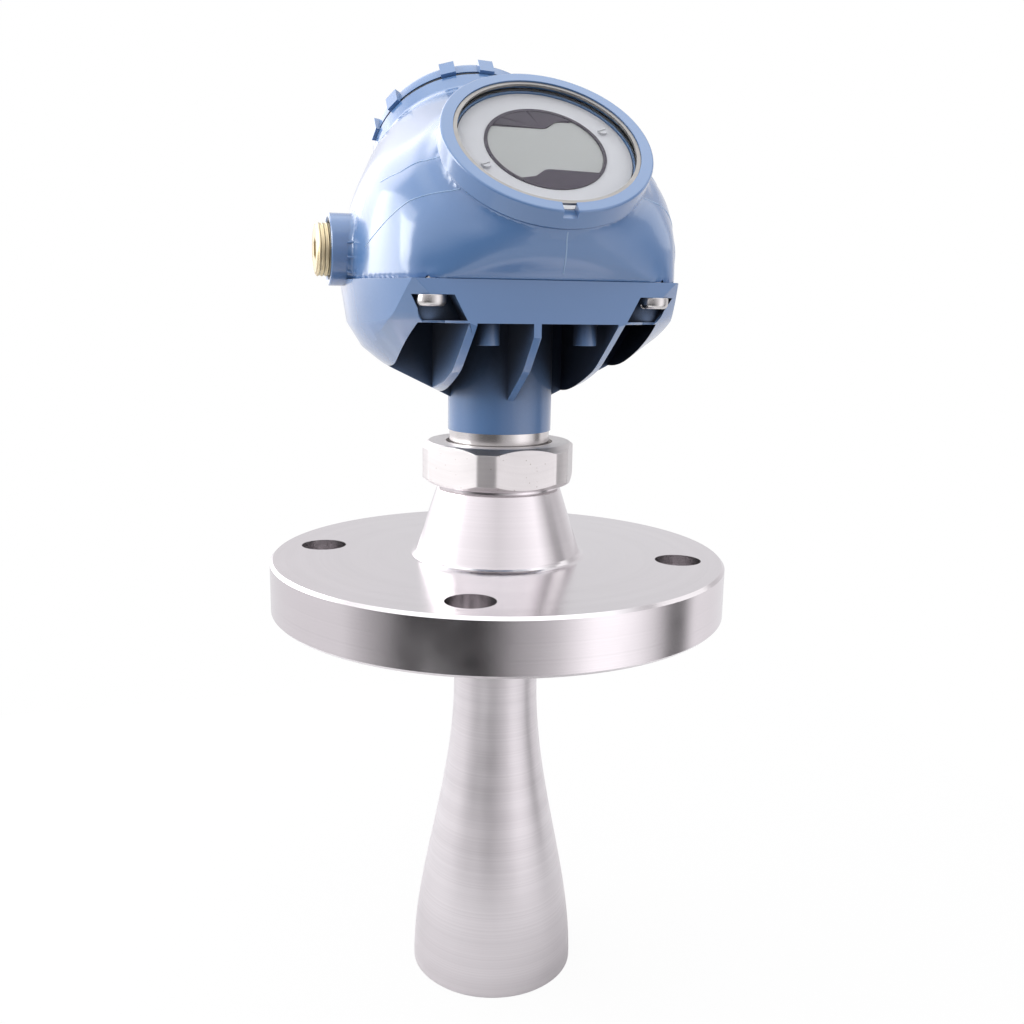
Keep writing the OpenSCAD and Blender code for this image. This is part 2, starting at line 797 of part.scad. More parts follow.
module terminal_block() {
    rim = clamp_head_d / 2;
    bay = [clamp_head_d + 4 * slip, block_d - 2 * rim, way_depth + over];
    color("darkslategray") on_terminal(terminal_floor) difference() {
        translate([-block_w / 2, -block_d / 2, 0]) cube([block_w, block_d, block_h]);
        each_way() translate([-bay[0] / 2, -bay[1] / 2, 0]) cube(bay);
    }
}

// Screw with a straight slot, standing on its bearing face
module small_screw(head_d) {
    head_h = 0.4 * head_d;
    slot_w = head_d / 6;
    difference() {
        disc(head_d, head_h);
        translate([-head_d, -slot_w / 2, head_h - slot_w]) cube([2 * head_d, slot_w, slot_w + over]);
    }
}

module terminal_screws() {
    color("gainsboro") on_terminal(terminal_floor) each_way()
        for (row = [-1, 1]) translate([0, row * block_d / 5, 0]) small_screw(clamp_head_d);
}

module ground_screw() {
    away = (block_d + terminal_bore) / 4;
    color("goldenrod") on_terminal(terminal_floor) translate([0, -away, 0])
        small_screw(ground_head_d);
}

// ---- Display cover ----

module display_seal_ring() {
    mean = 2 * display_thread_r + thread_wall;
    color("dimgray") on_display() seal(mean, cord_d, barrel_end + cover_gap + cord_d / 2);
}

module display_cover() {
    start = barrel_end + cover_gap;
    mean = 2 * display_thread_r + thread_wall;
    groove_w = cord_d + 2 * slip;
    notch_w = 5;
    notch_h = 3;
    foot_round = 0.6;
    brim_round = 0.8;
    color("cornflowerblue") on_display() difference() {
        union() {
            translate([0, 0, start]) rotate_extrude() polygon(soft([
                [0, 0, 0], [display_cover_d / 2, 0, foot_round],
                [display_cover_d / 2, display_cover_t, brim_round],
                [0, display_cover_t, 0]], 3));
            disc(2 * (display_thread_r - thread_gap), skirt_h + cover_gap + over,
                start - skirt_h - cover_gap);
        }
        disc(2 * skirt_bore_r, display_face, start - skirt_h - over);
        disc(window_d, display_face, glass_ledge);
        ring(mean + groove_w, mean - groove_w, cord_d + slip + over, start - over);
        translate([-notch_w / 2, -display_cover_d / 2 - over, display_face - notch_h])
            cube([notch_w, display_cover_d / 2 - window_d / 2 + 2 * over, notch_h + over]);
    }
}

module glass_seal() {
    color("dimgray") on_display(glass_ledge) ring(window_d - slip, 2 * skirt_bore_r + 1, seal_t);
}

module window_glass() {
    color([0.8, 0.9, 0.95, 0.35]) on_display(glass_at) disc(window_d - 2 * slip, glass_t);
}

module glass_retainer() {
    color("tan") on_display(glass_at + glass_t)
        ring(window_d - slip, window_d - 3, retainer_t);
}

// ---- Terminal cover ----

module terminal_seal_ring() {
    mean = 2 * terminal_thread_r + thread_wall;
    color("dimgray") on_terminal() seal(mean, cord_d, terminal_edge + cord_d / 2);
}

module terminal_cover() {
    mean = 2 * terminal_thread_r + thread_wall;
    groove_w = cord_d + 2 * slip;
    cap_r = terminal_cover_d / 2 - lug_h;
    cap_skin = 3.5;
    foot_round = 0.6;
    brim_round = 2.5;
    color("cornflowerblue") on_terminal() difference() {
        union() {
            translate([0, 0, terminal_edge]) rotate_extrude() polygon(soft([
                [0, 0, 0], [cap_r, 0, foot_round], [cap_r, terminal_cover_t, brim_round],
                [0, terminal_cover_t, 0]], 3));
            for (i = [1 : lug_pairs], side = [-1, 1])
                rotate(lug_turn + i * 360 / lug_pairs + side * lug_gap / 2)
                    translate([0, -lug_w / 2, terminal_edge])
                        cube([cap_r + lug_h, lug_w, terminal_cover_t - over]);
            disc(2 * terminal_skirt_r, skirt_h + over, terminal_edge - skirt_h);
        }
        disc(2 * (terminal_skirt_r - skirt_wall), skirt_h + terminal_cover_t - cap_skin + over,
            terminal_edge - skirt_h - over);
        ring(mean + groove_w, mean - groove_w, cord_d + slip + over, terminal_edge - over);
    }
}

// ---- Blanking plug in the left conduit entry ----

module plug_seal_ring() {
    color("dimgray") on_entry(-1) seal(entry_d + entry_seat, cord_d, -entry_seat / 2);
}

module blanking_plug() {
    r = entry_d / 2 - thread_gap;
    bevel = 1;
    socket_h = 4;
    color("darkkhaki") on_entry(-1) difference() {
        translate([0, 0, -plug_in]) rotate_extrude() polygon([
            [0, 0], [r - bevel, 0], [r, bevel], [r, plug_in + plug_out - bevel],
            [r - bevel, plug_in + plug_out], [0, plug_in + plug_out]]);
        translate([0, 0, plug_out - socket_h])
            cylinder(d = plug_af / cos(30), h = socket_h + over, $fn = 6);
    }
}

process_flange();
horn_antenna();
process_seal();
hub_seal_ring();
thrust_washer();
clamp_nut();
neck_adapter();
neck_seal_ring();
waveguide();
housing_base();
housing_gasket();
housing_dome();
housing_screws();
microwave_module();
electronics_module();
display_module();
module_screws();
face_plate();
screen();
screen_mask();
terminal_block();
terminal_screws();
ground_screw();
display_seal_ring();
display_cover();
glass_seal();
window_glass();
glass_retainer();
terminal_seal_ring();
terminal_cover();
plug_seal_ring();
blanking_plug();
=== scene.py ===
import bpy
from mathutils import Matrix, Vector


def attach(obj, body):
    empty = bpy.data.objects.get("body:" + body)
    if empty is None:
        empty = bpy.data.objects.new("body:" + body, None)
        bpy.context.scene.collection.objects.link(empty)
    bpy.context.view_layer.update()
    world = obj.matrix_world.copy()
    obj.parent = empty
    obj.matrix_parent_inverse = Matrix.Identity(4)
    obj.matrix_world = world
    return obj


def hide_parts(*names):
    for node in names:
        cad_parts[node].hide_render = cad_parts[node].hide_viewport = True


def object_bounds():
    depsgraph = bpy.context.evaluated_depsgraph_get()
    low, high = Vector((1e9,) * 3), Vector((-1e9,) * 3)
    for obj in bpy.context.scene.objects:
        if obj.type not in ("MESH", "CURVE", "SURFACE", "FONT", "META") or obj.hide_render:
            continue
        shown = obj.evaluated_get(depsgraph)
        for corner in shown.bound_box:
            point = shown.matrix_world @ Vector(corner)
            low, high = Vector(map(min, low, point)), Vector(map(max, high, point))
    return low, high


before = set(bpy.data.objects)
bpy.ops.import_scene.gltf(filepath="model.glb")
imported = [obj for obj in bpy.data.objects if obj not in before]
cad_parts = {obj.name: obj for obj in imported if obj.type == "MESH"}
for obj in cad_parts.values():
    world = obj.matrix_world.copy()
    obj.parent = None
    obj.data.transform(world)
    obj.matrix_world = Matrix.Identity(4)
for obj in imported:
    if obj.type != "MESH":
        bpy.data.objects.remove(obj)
cad_box = [list(corner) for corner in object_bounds()]

import math

import bpy
from mathutils import Matrix, Vector

scene = bpy.context.scene
scene.view_settings.view_transform = "Standard"

# --- Camera ---------------------------------------------------------------------------
# A short telephoto stands a little above the flange and to the left of the display. It
# looks down at the flange and is rolled by less than a degree.
yaw, pitch, roll = math.radians(15.5), math.radians(11.28), math.radians(0.87)
stand_off, eye_height = 0.4399, 0.1292
ahead = Vector((math.sin(yaw) * math.cos(pitch), math.cos(yaw) * math.cos(pitch),
                -math.sin(pitch)))
level = Vector((math.cos(yaw), -math.sin(yaw), 0))
upward = level.cross(ahead)
camera_data = bpy.data.cameras.new("camera")
camera_data.lens = 37.16
camera_data.shift_x = 0.01377
camera = bpy.data.objects.new("camera", camera_data)
scene.collection.objects.link(camera)
right = level * math.cos(roll) + upward * math.sin(roll)
top = upward * math.cos(roll) - level * math.sin(roll)
turned = Matrix((right, top, -ahead)).transposed().to_4x4()
place = Vector((-math.sin(yaw) * stand_off, -math.cos(yaw) * stand_off, eye_height))
camera.matrix_world = Matrix.Translation(place) @ turned
scene.camera = camera

# --- Studio ---------------------------------------------------------------------------
# A white tent stands round the bench, with a dark opening on the near side that the
# camera looks through. Two panels on the left and a weak one on the right draw the
# highlights on paint and steel.
world = bpy.data.worlds.new("studio")
scene.world = world
world.use_nodes = True
tent = world.node_tree
where = tent.nodes.new("ShaderNodeTexCoord").outputs["Generated"]


def feed(tree, socket, value):
    """Sets a socket to a number or colour, or links it to another socket."""
    if isinstance(value, bpy.types.NodeSocket):
        tree.links.new(value, socket)
    else:
        socket.default_value = value


def math_node(tree, operation, *values):
    """One sum of numbers and sockets."""
    node = tree.nodes.new("ShaderNodeMath")
    node.operation = operation
    for socket, value in zip(node.inputs, values):
        feed(tree, socket, value)
    return node.outputs[0]


def mix_colours(tree, share, first, second):
    """Passes from one colour to another as the share grows from 0 to 1."""
    mix = tree.nodes.new("ShaderNodeMix")
    mix.data_type = "RGBA"
    for label, value in (("Factor", share), ("A", first), ("B", second)):
        feed(tree, mix.inputs[label], (*value, 1) if isinstance(value, tuple) else value)
    return mix.outputs["Result"]


def remap(tree, value, span, goal=(0, 1)):
    """Carries a value from one span of numbers to another, and holds it within."""
    node = tree.nodes.new("ShaderNodeMapRange")
    tree.links.new(value, node.inputs["Value"])
    labels = ("From Min", "From Max", "To Min", "To Max")
    for label, number in zip(labels, (*span, *goal)):
        node.inputs[label].default_value = number
    return node.outputs["Result"]


def towards(direction):
    """How far a ray from the object points one way, from -1 to 1."""
    dot = tent.nodes.new("ShaderNodeVectorMath")
    dot.operation = "DOT_PRODUCT"
    tent.links.new(where, dot.inputs[0])
    dot.inputs[1].default_value = direction
    return dot.outputs["Value"]


near_side = towards((-math.sin(yaw), -math.cos(yaw), 0))
right_side = towards((math.cos(yaw), -math.sin(yaw), 0))
bearing = math_node(tent, "ARCTAN2", right_side, near_side)
turn = math_node(tent, "ADD", math_node(tent, "DIVIDE", bearing, math.tau), 0.5)
far_side = (0.82, 0.82, 0.84, 1)


def band(stops_by_bearing):
    """Brightness of the tent at each bearing in degrees, counted from the camera's side."""
    ring = tent.nodes.new("ShaderNodeValToRGB")
    stops = ring.color_ramp.elements
    stops[0].position, stops[1].position = 0.0, 1.0
    stops[0].color = stops[1].color = far_side
    for bearing_deg, grey in stops_by_bearing:
        stop = stops.new(bearing_deg / 360 + 0.5)
        stop.color = (grey, grey * 0.97, grey, 1)
    tent.links.new(turn, ring.inputs["Fac"])
    return ring.outputs["Color"]


# The opening level with the bench has dark edges, and the walls above it bright seams
opening = band(((-120, 0.85), (-79, 0.85), (-67, 0.55), (-56, 0.32), (-45, 0.08),
                (-35, 0.04), (-8, 0.03), (1, 0.16), (10, 0.4), (19, 0.52), (29, 0.72),
                (38, 1.05), (48, 1.45), (59, 1.45), (70, 1.25), (83, 0.8), (93, 0.2),
                (102, 0.15), (112, 1.0), (130, 0.9)))
above = band(((-165, 0.82), (-156, 2.4), (-122, 2.4), (-110, 0.9), (-60, 1.35),
              (-30, 1.15), (0, 0.92), (40, 1.15), (66, 1.4), (92, 0.6), (125, 0.5),
              (150, 0.82)))
# Spans of a ray's climb in which the walls take over from the opening and the roof from
# the walls
height, above_bench, overhead = towards((0, 0, 1)), (-0.16, 0.28), (0.7, 0.88)
walls = mix_colours(tent, remap(tent, height, above_bench), opening, above)
roof = mix_colours(tent, remap(tent, height, overhead), walls, (1.85, 1.87, 1.9))
seen = tent.nodes.new("ShaderNodeLightPath").outputs["Is Camera Ray"]
backdrop = mix_colours(tent, seen, roof, (1, 1, 1))
tent.links.new(backdrop, tent.nodes["Background"].inputs["Color"])

for lamp_name, at, watts, wide, tall in (("panel", (-0.75, 0.48, 0.38), 4.6, 1.0, 0.6),
                                         ("key", (-0.74, 0.10, 0.36), 1.8, 0.38, 0.34),
                                         ("fill", (0.80, 0.1, 0.5), 0.5, 0.4, 0.5)):
    lamp_data = bpy.data.lights.new(lamp_name, "AREA")
    lamp_data.shape = "RECTANGLE"
    lamp_data.energy, lamp_data.size, lamp_data.size_y = watts, wide, tall
    lamp = bpy.data.objects.new(lamp_name, lamp_data)
    scene.collection.objects.link(lamp)
    aim = Vector((-at[0], 0, 0))
    lamp.matrix_world = (Matrix.Translation(at)
                         @ aim.to_track_quat("-Z", "Y").to_matrix().to_4x4())

floor_z, floor_size, floor_grey, floor_glow = cad_box[0][2], 0.7, 0.62, 0.95
bpy.ops.object.select_all(action="DESELECT")
bpy.ops.mesh.primitive_grid_add(x_subdivisions=2, y_subdivisions=2, size=floor_size,
                                location=(0, 0, floor_z))
floor = bpy.context.object
floor.name = "floor"


def new_finish(name):
    """A new material, with its node tree and its shader."""
    material = bpy.data.materials.new(name)
    material.use_nodes = True
    return material, material.node_tree, material.node_tree.nodes["Principled BSDF"]


def two_shaders(tree, share, first, second):
    """Shows the second shader instead of the first as the share grows from 0 to 1."""
    mix = tree.nodes.new("ShaderNodeMixShader")
    for socket, source in zip(mix.inputs, (share, first, second)):
        tree.links.new(source, socket)
    tree.links.new(mix.outputs["Shader"], tree.nodes["Material Output"].inputs["Surface"])


paper, tree, matt = new_finish("white_paper")
matt.inputs["Base Color"].default_value = (floor_grey, floor_grey, floor_grey, 1)
matt.inputs["Roughness"].default_value = 0.9
glow = tree.nodes.new("ShaderNodeEmission")
seen = tree.nodes.new("ShaderNodeLightPath").outputs["Is Camera Ray"]
two_shaders(tree, math_node(tree, "MULTIPLY", seen, floor_glow),
            matt.outputs["BSDF"], glow.outputs["Emission"])
floor.data.materials.append(paper)

# --- Process flange -------------------------------------------------------------------
# The flange and its conical hub are turned from one forging of stainless steel. The
# lathe leaves fine rings on every face, and the shop's handling leaves light smears.


def new_group(name, inputs, outputs):
    """An effect that several finishes share, with its own named inputs and outputs."""
    group = bpy.data.node_groups.new(name, "ShaderNodeTree")
    for label, default in inputs:
        socket = group.interface.new_socket(label, in_out="INPUT",
                                            socket_type="NodeSocketFloat")
        socket.default_value = default
    for label in outputs:
        group.interface.new_socket(label, in_out="OUTPUT", socket_type="NodeSocketFloat")
    return group, group.nodes.new("NodeGroupInput"), group.nodes.new("NodeGroupOutput")


# Rings of a lathe round the Z axis: they follow radius less height, so that flat faces,
# walls and cones all get them
turning, given, out = new_group("turning_marks",
                                (("Lines per metre", 900.0), ("Smear size", 60.0)),
                                ("Height", "Tone", "Smear"))
spot = turning.nodes.new("ShaderNodeTexCoord").outputs["Object"]
axes = turning.nodes.new("ShaderNodeSeparateXYZ")
turning.links.new(spot, axes.inputs[0])
radius = math_node(turning, "SQRT", math_node(
    turning, "ADD", math_node(turning, "POWER", axes.outputs["X"], 2),
    math_node(turning, "POWER", axes.outputs["Y"], 2)))
along = math_node(turning, "SUBTRACT", radius, axes.outputs["Z"])


def noise(tree, place, scale, detail, rough=0.5):
    """Clouds of so many spots per metre, or rings where the place is a single number."""
    node = tree.nodes.new("ShaderNodeTexNoise")
    if place.type == "VALUE":
        node.noise_dimensions = "1D"
    tree.links.new(place, node.inputs["W" if place.type == "VALUE" else "Vector"])
    for label, value in (("Scale", scale), ("Detail", detail), ("Roughness", rough)):
        feed(tree, node.inputs[label], value)
    return node.outputs["Fac"]


fine = noise(turning, along, given.outputs["Lines per metre"], 5, 0.7)
broad = noise(turning, along, 130, 3)
smear = noise(turning, spot, given.outputs["Smear size"], 4)
rings = math_node(turning, "MULTIPLY_ADD", fine, 0.6, math_node(turning, "MULTIPLY", broad, 0.4))
for label, source in (("Height", fine), ("Tone", rings), ("Smear", smear)):
    turning.links.new(source, out.inputs[label])


def placed(tree, group):
    """A shared effect, placed in a finish."""
    node = tree.nodes.new("ShaderNodeGroup")
    node.node_tree = group
    return node


def add_bump(tree, height, depth, strength, onto):
    """Raises a fine relief on a shader, or under another relief."""
    node = tree.nodes.new("ShaderNodeBump")
    node.inputs["Distance"].default_value = depth
    node.inputs["Strength"].default_value = strength
    tree.links.new(height, node.inputs["Height"])
    tree.links.new(node.outputs["Normal"], onto.inputs["Normal"])


def steel(name, colour, dark, rough, rougher, lines_per_m, depth, anisotropy=0.35):
    """Turned steel: rings in the relief and the tone, smears in the gloss."""
    material, tree, shader = new_finish(name)
    shader.inputs["Metallic"].default_value = 1.0
    shader.inputs["Anisotropic"].default_value = anisotropy
    shader.inputs["Anisotropic Rotation"].default_value = 0.25
    round_axis = tree.nodes.new("ShaderNodeTangent")
    round_axis.direction_type, round_axis.axis = "RADIAL", "Z"
    tree.links.new(round_axis.outputs["Tangent"], shader.inputs["Tangent"])
    marks = placed(tree, turning)
    marks.inputs["Lines per metre"].default_value = lines_per_m
    tree.links.new(mix_colours(tree, marks.outputs["Tone"], dark, colour),
                   shader.inputs["Base Color"])
    tree.links.new(remap(tree, marks.outputs["Smear"], (0.3, 0.7), (rough, rougher)),
                   shader.inputs["Roughness"])
    add_bump(tree, marks.outputs["Height"], depth, 0.5, shader)
    return material


def give(node_name, material):
    """Gives a solid that keeps its shape its real finish."""
    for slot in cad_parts[node_name].material_slots:
        slot.material = material


turned_steel = steel("turned_steel", (0.80, 0.77, 0.785), (0.66, 0.63, 0.645),
                     rough=0.16, rougher=0.22, lines_per_m=1400, depth=0.00001)
give("process_flange", turned_steel)

# --- Horn antenna ---------------------------------------------------------------------
# The horn is turned with its tube from solid bar, so its flare carries fine level rings.
# Its tube reaches up through the flange and ends in a collar in the hub's recess.
tube_r, tube_bore_r, collar_r = 0.018, 0.0125, 0.0215
mouth_r, mouth_wall, mouth_lip = 0.0355, 0.0025, 0.0005
collar_low, collar_high = 0.0579, 0.0635
flare_top, flare_foot = -0.031, -0.1646
flare_rings, belly = 44, 1.08


def lathe(name, outline, sides=128):
    """Turns a closed outline of (radius, height) round Z, one extruded ring at a time."""
    bpy.ops.object.select_all(action="DESELECT")
    r, z = outline[0]
    bpy.ops.mesh.primitive_circle_add(vertices=sides, radius=r, location=(0, 0, z))
    piece = bpy.context.object
    piece.name = name
    bpy.ops.object.transform_apply()
    bpy.ops.object.mode_set(mode="EDIT")
    bpy.ops.mesh.select_all(action="SELECT")
    for next_r, next_z in outline[1:] + outline[:1]:
        bpy.ops.mesh.extrude_region_move(
            TRANSFORM_OT_translate={"value": (0, 0, next_z - z)})
        bpy.ops.transform.resize(value=(next_r / r, next_r / r, 1),
                                 center_override=(0, 0, next_z))
        r, z = next_r, next_z
    bpy.ops.mesh.select_all(action="SELECT")
    bpy.ops.mesh.remove_doubles(threshold=0.000002)
    bpy.ops.mesh.normals_make_consistent(inside=False)
    bpy.ops.object.mode_set(mode="OBJECT")
    bpy.ops.object.shade_smooth_by_angle(angle=math.radians(30))
    return piece


def flare(r_top, r_foot, z_top, z_foot):
    """One wall of the horn, from its straight tube to its mouth."""
    line = []
    for step in range(flare_rings + 1):
        part = step / flare_rings
        swell = part ** belly
        swell = swell * swell * (3 - 2 * swell)
        line.append((r_top + (r_foot - r_top) * swell, z_top + (z_foot - z_top) * part))
    return line


outside = flare(tube_r, mouth_r, flare_top, flare_foot + mouth_lip)
inside = flare(tube_bore_r, mouth_r - mouth_wall, flare_top, flare_foot)
horn = lathe("horn", [(tube_bore_r, collar_high), (collar_r, collar_high),
                      (collar_r, collar_low), (tube_r, collar_low)] + outside
             + [(mouth_r - mouth_lip, flare_foot)] + inside[::-1])
horn_steel = steel("horn_steel", (0.80, 0.77, 0.785), (0.56, 0.53, 0.545),
                   rough=0.28, rougher=0.36, lines_per_m=1000, depth=0.00005)
horn.data.materials.append(horn_steel)
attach(horn, "process_part")
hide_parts("horn_antenna")

# --- Process seal and waveguide -------------------------------------------------------
# Both are turned from white fluoropolymer, waxy and slightly cloudy. They close the tube
# and let the radar beam through.
waxy, tree, shader = new_finish("fluoropolymer")
shader.inputs["Roughness"].default_value = 0.45
shader.inputs["Subsurface Weight"].default_value = 0.15
shader.inputs["Subsurface Radius"].default_value = (0.002, 0.002, 0.0018)
marks = placed(tree, turning)
tree.links.new(mix_colours(tree, marks.outputs["Smear"], (0.80, 0.79, 0.75), (0.90, 0.89, 0.86)),
               shader.inputs["Base Color"])
for node_name in ("process_seal", "waveguide"):
    give(node_name, waxy)

# --- Clamp nut ------------------------------------------------------------------------
# The hexagon nut is cut from a stainless casting: pitted flats that are only linished,
# turned bevels above and below, and a lip that presses on the adapter's collar.


def casting_copy(node_name, name):
    """A copy of a solid with its triangles joined, ready to be worked on."""
    bpy.ops.object.select_all(action="DESELECT")
    piece = bpy.data.objects.new(name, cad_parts[node_name].data.copy())
    scene.collection.objects.link(piece)
    piece.data.materials.clear()
    bpy.context.view_layer.objects.active = piece
    piece.select_set(True)
    bpy.ops.object.mode_set(mode="EDIT")
    bpy.ops.mesh.select_all(action="SELECT")
    bpy.ops.mesh.remove_doubles(threshold=0.000003)
    bpy.ops.object.mode_set(mode="OBJECT")
    return piece


def break_edges(piece, width, segments=2, over_deg=28):
    """Joins flat facets, then rounds every sharp edge a little."""
    bpy.ops.object.select_all(action="DESELECT")
    bpy.context.view_layer.objects.active = piece
    piece.select_set(True)
    bpy.ops.object.mode_set(mode="EDIT")
    bpy.ops.mesh.select_all(action="SELECT")
    bpy.ops.mesh.dissolve_limited(angle_limit=math.radians(0.6))
    bpy.ops.object.mode_set(mode="OBJECT")
    rounding = piece.modifiers.new("rounding", "BEVEL")
    rounding.width, rounding.segments = width, segments
    rounding.angle_limit = math.radians(over_deg)
    bpy.ops.object.modifier_apply(modifier="rounding")
    bpy.ops.object.shade_smooth_by_angle(angle=math.radians(34))
    flats = piece.modifiers.new("flats", "WEIGHTED_NORMAL")
    flats.weight, flats.keep_sharp = 100, True
    bpy.ops.object.modifier_apply(modifier="flats")


nut = casting_copy("clamp_nut", "nut")
break_edges(nut, 0.0004)

pit_width, pit_share = 0.13, 0.38
pitting, given, out = new_group("cast_pits", (("Pits per metre", 620.0),), ("Pit", "Grain"))
spot = pitting.nodes.new("ShaderNodeTexCoord").outputs["Object"]
cells = pitting.nodes.new("ShaderNodeTexVoronoi")
pitting.links.new(spot, cells.inputs["Vector"])
pitting.links.new(given.outputs["Pits per metre"], cells.inputs["Scale"])
near = math_node(pitting, "LESS_THAN", cells.outputs["Distance"], pit_width)
lot = pitting.nodes.new("ShaderNodeSeparateColor")
pitting.links.new(cells.outputs["Color"], lot.inputs["Color"])
drawn = math_node(pitting, "GREATER_THAN", lot.outputs["Red"], 1 - pit_share)
pitting.links.new(math_node(pitting, "MULTIPLY", near, drawn), out.inputs["Pit"])
pitting.links.new(noise(pitting, spot, 1600, 4), out.inputs["Grain"])

nut_steel = steel("nut_steel", (0.76, 0.74, 0.735), (0.62, 0.60, 0.595), rough=0.36,
                  rougher=0.46, lines_per_m=700, depth=0.00002, anisotropy=0.3)
tree = nut_steel.node_tree
shader, tone, rings = (tree.nodes[name] for name in ("Principled BSDF", "Mix", "Bump"))
pits = placed(tree, pitting)
tree.links.new(mix_colours(tree, pits.outputs["Pit"], tone.outputs["Result"],
                           (0.38, 0.34, 0.31)), shader.inputs["Base Color"])
relief = math_node(tree, "SUBTRACT", pits.outputs["Grain"], pits.outputs["Pit"])
add_bump(tree, relief, 0.00006, 0.45, rings)
nut.data.materials.append(nut_steel)
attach(nut, "clamp_nut")
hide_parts("clamp_nut")

# --- Neck adapter and slip washer -----------------------------------------------------
# A finely turned stainless ring shows between nut and casting. Its collar sits under the
# nut's lip on a thin washer, and its spigot is pressed into the aluminium neck.
neck_steel = steel("neck_steel", (0.76, 0.74, 0.73), (0.62, 0.60, 0.59),
                   rough=0.16, rougher=0.24, lines_per_m=1800, depth=0.000015)
for node_name in ("neck_adapter", "thrust_washer"):
    give(node_name, neck_steel)

# --- Cast base ------------------------------------------------------------------------
# The base is die-cast aluminium in a blue semi-gloss powder coat. Its ribs, pockets and
# walls run into each other with soft fillets, and the rim's edge is slightly broken.
base = casting_copy("housing_base", "cast_base")
break_edges(base, 0.0005, over_deg=24)

orange_peel, given, out = new_group("powder_coat", (("Peel per metre", 700.0),),
                                    ("Height", "Tone"))
spot = orange_peel.nodes.new("ShaderNodeTexCoord").outputs["Object"]
peel = noise(orange_peel, spot, given.outputs["Peel per metre"], 2)
swell = noise(orange_peel, spot, 90, 2)
orange_peel.links.new(math_node(orange_peel, "MULTIPLY_ADD", peel, 0.55, math_node(
    orange_peel, "MULTIPLY", swell, 0.45)), out.inputs["Height"])
orange_peel.links.new(noise(orange_peel, spot, 30, 5, 0.6), out.inputs["Tone"])

# The second colour is the painted shade of the base's deep bays
paint_rough, bay_shade = 0.27, (0.004, 0.007, 0.016)
blue_paint, tree, shader = new_finish("blue_paint")
shader.inputs["Coat Weight"].default_value = 1.0
shader.inputs["Coat Roughness"].default_value = 0.12
coat = placed(tree, orange_peel)
shade = mix_colours(tree, coat.outputs["Tone"], (0.090, 0.190, 0.385), (0.104, 0.212, 0.420))
# Deep bays are painted nearly black by an ambient occlusion mask: painted shade. The same mask
# makes them matt and takes their coat away
shade_ao = tree.nodes.new("ShaderNodeAmbientOcclusion")
shade_ao.only_local = True
shade_ao.samples = 8
shade_ao.inputs["Distance"].default_value = 0.06
unshaded = remap(tree, shade_ao.outputs["AO"], (0.36, 0.88), (0.06, 1))
for label, source in (("Base Color", mix_colours(tree, unshaded, bay_shade, shade)),
                      ("Roughness", remap(tree, unshaded, (0, 1), (1, paint_rough))),
                      ("Coat Weight", unshaded)):
    tree.links.new(source, shader.inputs[label])
add_bump(tree, coat.outputs["Height"], 0.0002, 0.25, shader)
base.data.materials.append(blue_paint)
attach(base, "head")
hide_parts("housing_base")

# --- Cast dome ------------------------------------------------------------------------
# The dome is one casting whose skin sweeps between the joint, the two barrels and the
# conduit bosses. The barrels, bosses and the joint's face are machined and stay crisp.
seam_z, front_cross, rear_cross, tilt = 0.1366, 0.1244, 0.1264, math.radians(46)
to_display = Vector((0, -math.cos(tilt), math.sin(tilt)))
to_terminals = Vector((0, math.cos(tilt), math.sin(tilt)))
entry_z, side_r = 0.1479, 0.138
half_w, half_d, shoulder_z = 0.0616, 0.0630, seam_z + 0.0154


def ramp(value, low, high):
    """Eases from 0 to 1 as the value passes from low to high."""
    part = min(max((value - low) / (high - low), 0), 1)
    return part * part * (3 - 2 * part)


def plan_at(z, to_side, to_end, corner, steps=10):
    """Points of a plan with two bulging sides, two flat ends and round corners."""
    back = side_r - to_side
    corner_x = math.sqrt((side_r - corner) ** 2 - (to_end - corner) ** 2) - back
    points = []
    for sx in (-1, 1):
        for sy in (-1, 1):
            points += [(sx * (corner_x + corner * math.cos(math.pi / 2 * k / steps)),
                        sy * (to_end - corner + corner * math.sin(math.pi / 2 * k / steps)),
                        z) for k in range(steps + 1)]
        for k in range(-steps, steps + 1):
            y = (to_end - corner) * k / steps
            points.append((sx * (math.sqrt(side_r ** 2 - y * y) - back), y, z))
    return points


def disc_at(axis, cross_z, away, radius, steps=64):
    """Points round the end of a barrel."""
    across = Vector((1, 0, 0))
    up = axis.cross(across)
    centre = Vector((0, 0, cross_z)) + axis * away
    return [centre + across * radius * math.cos(math.tau * k / steps)
            + up * radius * math.sin(math.tau * k / steps) for k in range(steps)]


points = plan_at(seam_z - 0.010, half_w, half_d - 0.0070, 0.011)
points += plan_at(seam_z, half_w + 0.0002, half_d, 0.011)
points += plan_at(shoulder_z, half_w, half_d, 0.014)
points += plan_at(shoulder_z + 0.0146, half_w - 0.0024, half_d - 0.0050, 0.028)
points += plan_at(shoulder_z + 0.0258, half_w - 0.0076, half_d - 0.0220, 0.028)
points += disc_at(to_display, front_cross, away=0.0745, radius=0.0372)
points += disc_at(to_terminals, rear_cross, away=0.0815, radius=0.0446)
form_data = bpy.data.meshes.new("skin_form")
form_data.from_pydata([tuple(point) for point in points], [], [])
form = bpy.data.objects.new("skin_form", form_data)
scene.collection.objects.link(form)
bpy.ops.object.select_all(action="DESELECT")
bpy.context.view_layer.objects.active = form
form.select_set(True)
bpy.ops.object.mode_set(mode="EDIT")
bpy.ops.mesh.select_all(action="SELECT")
bpy.ops.mesh.convex_hull()
bpy.ops.object.mode_set(mode="OBJECT")


def work(piece, *steps):
    """Adds and applies one modifier after another."""
    bpy.ops.object.select_all(action="DESELECT")
    bpy.context.view_layer.objects.active = piece
    piece.select_set(True)
    for kind, settings in steps:
        step = piece.modifiers.new("step", kind)
        for key, value in settings.items():
            setattr(step, key, value)
        bpy.ops.object.modifier_apply(modifier="step")


